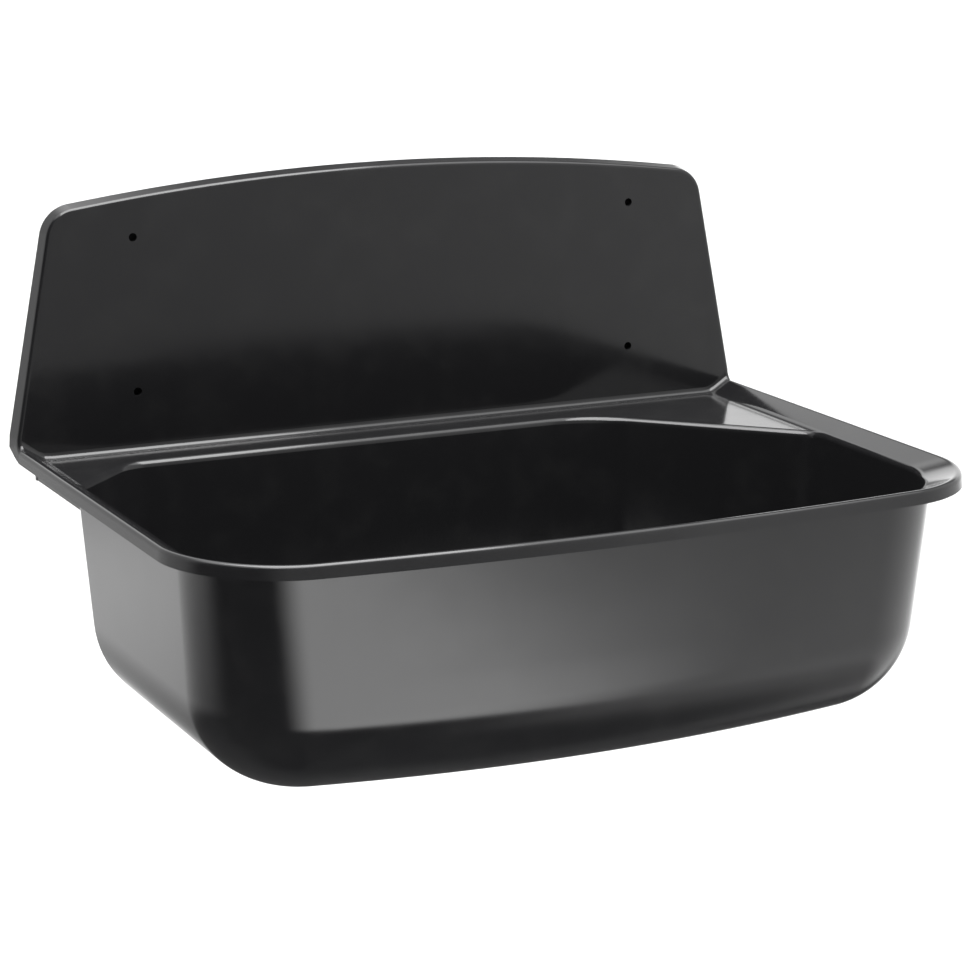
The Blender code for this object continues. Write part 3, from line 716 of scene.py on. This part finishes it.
# ---- Upper seal
# A flat ring of black rubber between the strainer and the recessed seat in the basin's floor. It is
# moulded, and squeezed when the centre screw is tightened.

ROUND_STEPS = 96


def turned(rows, steps=ROUND_STEPS):
    """A solid about the waste's axis from its closed outline.

    A row is a radius and a height, and in a screw thread its depth and pitch too.
    """
    made = bmesh.new()
    rings = []
    for row in rows:
        radius, z = row[:2]
        if radius == 0:
            rings.append([made.verts.new((WASTE.x, WASTE.y, z))])
            continue
        ring = []
        for i in range(steps):
            angle = 2 * math.pi * i / steps
            r = radius
            if len(row) > 2:
                depth, pitch = row[2:]
                r -= depth * (0.5 + 0.5 * math.cos(2 * math.pi * z / pitch - angle))
            x = WASTE.x + r * math.cos(angle)
            ring.append(made.verts.new((x, WASTE.y + r * math.sin(angle), z)))
        rings.append(ring)
    for first, second in zip(rings, rings[1:] + rings[:1]):
        if len(first) == 1 and len(second) == 1:
            continue
        for i in range(steps):
            j = (i + 1) % steps
            if len(first) == 1:
                made.faces.new([first[0], second[i], second[j]])
            elif len(second) == 1:
                made.faces.new([first[i], first[j], second[0]])
            else:
                made.faces.new([first[i], first[j], second[j], second[i]])
    return made


def rounded(outline, radius, steps=3):
    """A closed (radius, height) outline with all its corners rounded, except those on the axis."""
    points = [Vector(p) for p in outline]
    made = []
    for i, corner in enumerate(points):
        if corner.x == 0:
            made.append(corner)
            continue
        before = points[i - 1]
        after = points[(i + 1) % len(points)]
        shorter = min((before - corner).length, (after - corner).length)
        angle = (before - corner).angle(after - corner) / 2
        fit = min(radius, 0.45 * shorter * math.tan(angle))
        made += round_corner(before, corner, after, fit, steps)
    return [(p.x, p.y) for p in made]


def ring_outline(node, inside):
    low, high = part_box(node)
    outside = (high.x - low.x) / 2
    return [(inside, low.z), (outside, low.z), (outside, high.z), (inside, high.z)]


SEAL_INSIDE = 0.0565

rubber = Finish("seal_rubber", Specular_IOR_Level=0.35)
bloom = rubber.cloud(220, 4.0)
rubber.feed(Base_Color=rubber.mix(rubber.ramp(bloom, 0.4, 0.8),
                                  (0.020, 0.020, 0.020, 1), (0.034, 0.033, 0.032, 1)),
            Roughness=0.62 + rubber.ramp(bloom, 0.3, 0.8) * 0.2)
rubber.bump(rubber.cloud(1600, 2.0), 0.0001, 0.4)

upper_seal = piece("strainer_seal", turned(rounded(ring_outline("upper_seal", SEAL_INSIDE / 2), 0.0006)))
smooth(upper_seal, 50)
upper_seal.data.materials.append(rubber.material)
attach(upper_seal, "root")
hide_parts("upper_seal")


# ---- Strainer plate
# Stainless steel sheet, about 1 mm thick, pressed to a dish and punched with drain holes. It lies on the
# upper seal, and the centre screw pulls it down.

STRAINER_DISH = 0.046
STRAINER_SHEET = 0.0010
DRAIN_HOLE = 0.0046
DRAIN_RINGS = ((6, 0.0095), (10, 0.0163))
CENTRE_HOLE = 0.0066
PUNCHED_EDGE = 0.00018

steel = Finish("brushed_stainless", Metallic=1.0)
brushed = steel.cloud(700, 3.0, (1, 0.04, 1))
stains = steel.cloud(60, 4.0)
steel.feed(Base_Color=steel.mix(steel.ramp(stains, 0.4, 0.75),
                                (0.48, 0.475, 0.46, 1), (0.38, 0.37, 0.355, 1)),
           Roughness=0.20 + brushed * 0.16 + steel.ramp(stains, 0.5, 0.8) * 0.08)
steel.bump(brushed, 0.00003, 0.5)

plate_radius = (plate_high.x - plate_low.x) / 2
dish = STRAINER_DISH / 2
dished = dish - (plate_high.z - plate_low.z - STRAINER_SHEET)
plate = rounded([(0.0, plate_low.z), (dished, plate_low.z), (dish, plate_high.z - STRAINER_SHEET),
                 (plate_radius, plate_high.z - STRAINER_SHEET), (plate_radius, plate_high.z),
                 (dish, plate_high.z), (dished, plate_low.z + STRAINER_SHEET),
                 (0.0, plate_low.z + STRAINER_SHEET)], 0.0012, 5)
strainer = piece("pressed_strainer", turned(plate))


def circle_at(centre, radius, steps):
    angles = [2 * math.pi * i / steps for i in range(steps)]
    return [(centre.x + radius * math.cos(a), centre.y + radius * math.sin(a)) for a in angles]


punch_low = plate_low.z - CUTTER_REACH
punch_high = plate_low.z + CUTTER_REACH
punches = bmesh.new()
for count, ring_radius in DRAIN_RINGS:
    for number in range(count):
        angle = 2 * math.pi * (number + 0.5) / count
        middle = WASTE + Vector((ring_radius * math.cos(angle), ring_radius * math.sin(angle), 0))
        prism(punches, circle_at(middle, DRAIN_HOLE / 2, 32), punch_low, punch_high)
prism(punches, circle_at(WASTE, CENTRE_HOLE / 2, 40), punch_low, punch_high)
join_or_cut(strainer, punches, "DIFFERENCE")
rolled = strainer.modifiers.new("punched edges", "BEVEL")
rolled.width = PUNCHED_EDGE
rolled.segments = 2
rolled.limit_method = "ANGLE"
rolled.angle_limit = math.radians(60)
smooth(strainer, 45)
strainer.data.materials.clear()
strainer.data.materials.append(steel.material)
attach(strainer, "root")
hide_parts("strainer_plate")


# ---- Centre screw
# A stainless M6 pan-head screw with a slot, through the middle of the strainer into the insert below.

SHANK = 0.0060
SHANK_CHAMFER = 0.0008
NECK = 0.0012  # plain length under the head
HEAD_HEIGHT = 0.0036
SLOT_WIDTH = 0.0016
SLOT_DEPTH = 0.0015
M6_PITCH = 0.0010
M6_DEPTH = 0.0006

screw_low, screw_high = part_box("centre_screw")
head_radius = (screw_high.x - screw_low.x) / 2
head_z = screw_high.z - HEAD_HEIGHT


def threaded(radius, start, end, pitch, depth, turns_of_rows=8):
    """Rows of a screw thread between two heights, running out at both ends."""
    count = round(abs(end - start) / pitch * turns_of_rows)
    rows = []
    for i in range(1, count):
        z = start + (end - start) * i / count
        run_out = min(1.0, abs(z - start) / pitch, abs(end - z) / pitch)
        rows.append((radius, z, depth * run_out, pitch))
    return rows


head_side = rounded([(head_radius, head_z), (head_radius, head_z + 0.4 * HEAD_HEIGHT),
                     (0.8 * head_radius, head_z + 0.8 * HEAD_HEIGHT), (0.45 * head_radius, screw_high.z),
                     (0.0, screw_high.z), (0.0, head_z)], 0.0010, 5)[:-1]
shank = SHANK / 2
thread_low = screw_low.z + SHANK_CHAMFER
thread_high = head_z - NECK
screw = piece("pan_head_screw", turned(
    [(0.0, screw_low.z), (shank - SHANK_CHAMFER, screw_low.z), (shank, thread_low)]
    + threaded(shank, thread_low, thread_high, M6_PITCH, M6_DEPTH)
    + [(shank, thread_high), (shank, head_z)] + head_side, 48))
slot = block((WASTE.x - CUTTER_REACH, WASTE.y - SLOT_WIDTH / 2, screw_high.z - SLOT_DEPTH),
             (WASTE.x + CUTTER_REACH, WASTE.y + SLOT_WIDTH / 2, screw_high.z + CUTTER_REACH))
join_or_cut(screw, slot, "DIFFERENCE")
smooth(screw, 40)
screw.data.materials.clear()
screw.data.materials.append(steel.material)
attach(screw, "root")
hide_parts("centre_screw")


# ---- Lower seal
# A thicker ring of the same moulded rubber. It lies between the underside of the basin's floor and the
# waste body's flange.

lower_seal = piece("body_seal", turned(rounded(ring_outline("lower_seal", SEAL_INSIDE / 2), 0.0009)))
smooth(lower_seal, 50)
lower_seal.data.materials.append(rubber.material)
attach(lower_seal, "root")
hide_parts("lower_seal")


# ---- Waste body
# Grey polypropylene, injection moulded: a flange under the basin's floor, a funnel, and a threaded spigot
# for the trap's nut. A cross inside the spigot carries the brass insert, and ribs stiffen the flange.

FLANGE_THICKNESS = 0.0040
FUNNEL_MOUTH = 0.060
FUNNEL_DEPTH = 0.010
BODY_WALL = 0.0028
SPIGOT_DIAMETER = 0.0478
SPIGOT_PITCH = 0.00231
SPIGOT_THREAD = 0.0012
THREAD_RUN_OUT = 0.0035
WEB_THICKNESS = 0.0030
WEB_HEIGHT = 0.014
WEB_BOSS = 0.0140
CLEARANCE = 0.0003  # round the insert, and between faces that would coincide
RIB_COUNT = 8
RIB_THICKNESS = 0.0018
FLANGE_CHAMFER = 0.0006

grey = Finish("grey_polypropylene", Specular_IOR_Level=0.45)
mottle = grey.cloud(90, 4.0)
grey.feed(Base_Color=grey.mix(grey.ramp(mottle, 0.35, 0.75),
                              (0.33, 0.34, 0.35, 1), (0.28, 0.29, 0.30, 1)),
          Roughness=0.38 + grey.ramp(mottle, 0.3, 0.8) * 0.12)
grey.bump(grey.cloud(1300, 2.0) * 0.5 + mottle, 0.00006, 0.5)

body_low, body_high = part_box("waste_body")
flange_radius = (body_high.x - body_low.x) / 2
flange_z = body_high.z - FLANGE_THICKNESS
spigot_z = body_high.z - FUNNEL_DEPTH
spigot = SPIGOT_DIAMETER / 2
funnel = FUNNEL_MOUTH / 2
bore = spigot - BODY_WALL
thread_low = body_low.z + SPIGOT_THREAD
thread_high = spigot_z - THREAD_RUN_OUT
outer_rows = [(bore, body_low.z), (spigot - SPIGOT_THREAD, body_low.z), (spigot, thread_low)]
outer_rows += threaded(spigot, thread_low, thread_high, SPIGOT_PITCH, SPIGOT_THREAD)
outer_rows += [(spigot, thread_high), (spigot, spigot_z)]
top_rows = [(funnel + BODY_WALL, flange_z), (flange_radius - FLANGE_CHAMFER, flange_z),
            (flange_radius, flange_z + FLANGE_CHAMFER), (flange_radius, body_high.z - FLANGE_CHAMFER),
            (flange_radius - FLANGE_CHAMFER, body_high.z), (funnel, body_high.z), (bore, spigot_z)]
body = piece("waste_moulding", turned(outer_rows + top_rows))

reach = bore + BODY_WALL / 2
half_web = WEB_THICKNESS / 2
web_top = spigot_z - 0.001
web_low = web_top - WEB_HEIGHT
cross = []
for turn in range(4):
    for x, y in ((reach, half_web), (half_web, half_web), (half_web, reach)):
        for _ in range(turn):
            x, y = -y, x
        cross.append((WASTE.x + x, WASTE.y + y))
arms = bmesh.new()
prism(arms, cross, web_low, web_top)
join_or_cut(body, arms, "UNION")
hub = WEB_BOSS / 2
hub_low = web_low - CLEARANCE
hub_high = web_top + CLEARANCE
join_or_cut(body, turned([(0.0, hub_low), (hub, hub_low), (hub, hub_high), (0.0, hub_high)], 48), "UNION")
insert_low, insert_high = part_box("thread_insert")
insert_bore = CENTRE_HOLE / 2
pocket = (insert_high.x - insert_low.x) / 2 + CLEARANCE
pocket_low = insert_low.z - CLEARANCE
pocket_high = insert_high.z + CUTTER_REACH
drilled_to = insert_low.z - 2 * CUTTER_REACH
join_or_cut(body, turned([(0.0, drilled_to), (insert_bore, drilled_to), (insert_bore, pocket_low),
                          (pocket, pocket_low), (pocket, pocket_high), (0.0, pocket_high)], 48),
            "DIFFERENCE")
rib_profile = [(spigot - 0.0012, spigot_z - 0.0025), (spigot + 0.0012, spigot_z - 0.0025),
               (flange_radius - 0.0025, flange_z + 0.0005), (spigot + 0.001, flange_z + 0.0015)]
for number in range(RIB_COUNT):
    angle = 2 * math.pi * (number + 0.5) / RIB_COUNT
    along = Vector((math.cos(angle), math.sin(angle), 0))
    across = Vector((-along.y, along.x, 0)) * (RIB_THICKNESS / 2)
    rib = bmesh.new()
    sides = []
    for sign in (-1, 1):
        foot = WASTE + across * sign
        sides.append([rib.verts.new(foot + along * r + Vector((0, 0, z))) for r, z in rib_profile])
    rib.faces.new(sides[0])
    rib.faces.new(sides[1][::-1])
    for i in range(len(rib_profile)):
        j = (i + 1) % len(rib_profile)
        rib.faces.new([sides[0][i], sides[0][j], sides[1][j], sides[1][i]])
    join_or_cut(body, rib, "UNION")
smooth(body, 38)
body.data.materials.clear()
body.data.materials.append(grey.material)
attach(body, "root")
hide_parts("waste_body")


# ---- Threaded insert
# Turned brass, knurled outside so that it can't turn in the plastic. It is pressed into the cross, and
# bored for the centre screw.

KNURLS = 30
KNURL_DEPTH = 0.00022
INSERT_CHAMFER = 0.0004
INSERT_GROOVE = 0.0005

brass = Finish("turned_brass", Metallic=1.0)
lathe_marks = brass.cloud(500, 2.0, (0.05, 0.05, 1))
brass.feed(Base_Color=brass.mix(brass.ramp(lathe_marks, 0.3, 0.7),
                                (0.60, 0.43, 0.17, 1), (0.72, 0.54, 0.24, 1)),
           Roughness=0.26 + lathe_marks * 0.14)
brass.bump(lathe_marks, 0.00003, 0.5)

insert_radius = (insert_high.x - insert_low.x) / 2
insert_height = insert_high.z - insert_low.z
insert_rows = [(insert_bore, insert_low.z), (insert_radius - INSERT_CHAMFER, insert_low.z)]
for share in (0.06, 0.44, 0.5, 0.56, 0.94):
    groove = INSERT_GROOVE if share == 0.5 else 0.0
    insert_rows.append((insert_radius - groove, insert_low.z + share * insert_height))
insert_rows += [(insert_radius - INSERT_CHAMFER, insert_high.z), (insert_bore, insert_high.z)]
insert_mesh = turned(insert_rows, 4 * KNURLS)
for vertex in insert_mesh.verts:
    from_axis = Vector((vertex.co.x - WASTE.x, vertex.co.y - WASTE.y, 0))
    if from_axis.length > insert_radius - 0.0001:
        quarter = round(math.atan2(from_axis.y, from_axis.x) / (2 * math.pi) * 4 * KNURLS) % 4
        if quarter in (0, 1):
            vertex.co -= from_axis.normalized() * KNURL_DEPTH
insert = piece("knurled_insert", insert_mesh)
smooth(insert, 30)
insert.data.materials.append(brass.material)
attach(insert, "root")
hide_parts("thread_insert")


# ---- Floor, room and lights
# The tub hangs on its wall, so the pale floor lies well below it. One soft box hangs overhead, and the room
# glows unevenly: bright behind the tub and out to its right, and dark out to its left. The moulding mirrors
# that in long soft bands.

FLOOR_BELOW = 0.42
FLOOR_REACH = 30
FLOOR_THICKNESS = 0.02
floor_mesh = bmesh.new()
floor_z = body_low.z - FLOOR_BELOW
floor_corners = [(-FLOOR_REACH, -FLOOR_REACH), (FLOOR_REACH, -FLOOR_REACH),
                 (FLOOR_REACH, FLOOR_REACH), (-FLOOR_REACH, FLOOR_REACH)]
prism(floor_mesh, floor_corners, floor_z - FLOOR_THICKNESS, floor_z)
floor = piece("stage_floor", floor_mesh)
pale = Finish("pale_floor", Roughness=0.9)
pale.feed(Base_Color=pale.mix(pale.cloud(3), (0.91, 0.91, 0.91, 1), (0.94, 0.94, 0.94, 1)))
floor.data.materials.append(pale.material)
floor.visible_glossy = False

world = bpy.data.worlds.new("room")
world.use_nodes = True
bpy.context.scene.world = world
bpy.context.scene.view_settings.view_transform = "Standard"
room = Recipe(world.node_tree)
background = room.tree.nodes["Background"]
background.inputs["Color"].default_value = (1.0, 1.0, 1.0, 1.0)
toward = room.node("ShaderNodeTexCoord", {}, {}, "Generated")
east = room.node("ShaderNodeSeparateXYZ", {}, {"Vector": toward}, "X")
north = room.node("ShaderNodeSeparateXYZ", {}, {"Vector": toward}, "Y")
up = room.node("ShaderNodeSeparateXYZ", {}, {"Vector": toward}, "Z")
bearing = east.maths("ARCTAN2", east, north * -1.0)  # 0 straight out from the wall, positive to the right

# In front of the tub: dark at the left, a broad light beyond it, a soft light low down, and a dark floor
behind = room.ramp(north - room.ramp(east, 0.50, 0.80) * 0.25, 0.05, 0.45)
right_front = room.ramp(bearing, -0.85, -0.25)
far_right = room.ramp(bearing, 0.30, 0.70)
broad = 0.02 + right_front * (0.42 + room.ramp(bearing, 0.25, 0.62) * 0.50)
under = room.ramp(up, -0.58, -0.72) * (1.0 - far_right * room.ramp(up, -0.90, -0.70) * 0.5)
low = room.ramp(up, -0.24, -0.36)
low_right = low * far_right * room.ramp(up, -0.86, -0.66) * 0.25
soft_low = right_front * room.ramp(bearing, 0.70, 0.29) * low * room.ramp(up, -0.68, -0.60)
front_glow = broad * (1.0 - under * 0.95) + low_right + soft_low * 4.0

# Behind the tub: bright from just below the horizon upwards, with a shade at the left that leaves a low
# strip clear, and a shade at the upper right
back_light = 0.10 + room.ramp(up, -0.52, -0.22) * 1.65
left_shade = room.ramp(east, 0.0, -0.30) * room.ramp(up, -0.31, -0.26) * 0.55
upper_shade = room.ramp(east, 0.15, 0.30) * room.ramp(up, 0.28, 0.36) * 0.88
back_glow = back_light * (1.0 - left_shade) * (1.0 - upper_shade)

overhead_glow = room.ramp(up, 0.70, 0.86) * 2.2
glow = (1.0 - behind) * front_glow + behind * back_glow + overhead_glow
room.tree.links.new(glow.socket, background.inputs["Strength"])

overhead = bpy.data.lights.new("overhead", "AREA")
overhead.shape = "RECTANGLE"
overhead.size = 0.95
overhead.size_y = 1.0
overhead.energy = 21
soft_box = bpy.data.objects.new("overhead", overhead)
soft_box.location = (-0.1, -0.3, 1.1)
soft_box.visible_camera = False
bpy.context.collection.objects.link(soft_box)

CAMERA_PLACE = Vector((-0.7694, -1.7599, 0.4263))
CAMERA_YAW = math.radians(25.55)
CAMERA_PITCH = math.radians(13.646)
camera = bpy.data.objects.new("camera", bpy.data.cameras.new("camera"))
camera.data.lens = 112.45
camera.data.sensor_width = 36.0
camera.location = CAMERA_PLACE
ahead = math.cos(CAMERA_PITCH)
look = Vector((math.sin(CAMERA_YAW) * ahead, math.cos(CAMERA_YAW) * ahead, -math.sin(CAMERA_PITCH)))
camera.rotation_euler = look.to_track_quat("-Z", "Y").to_euler()
bpy.context.collection.objects.link(camera)
bpy.context.scene.camera = camera
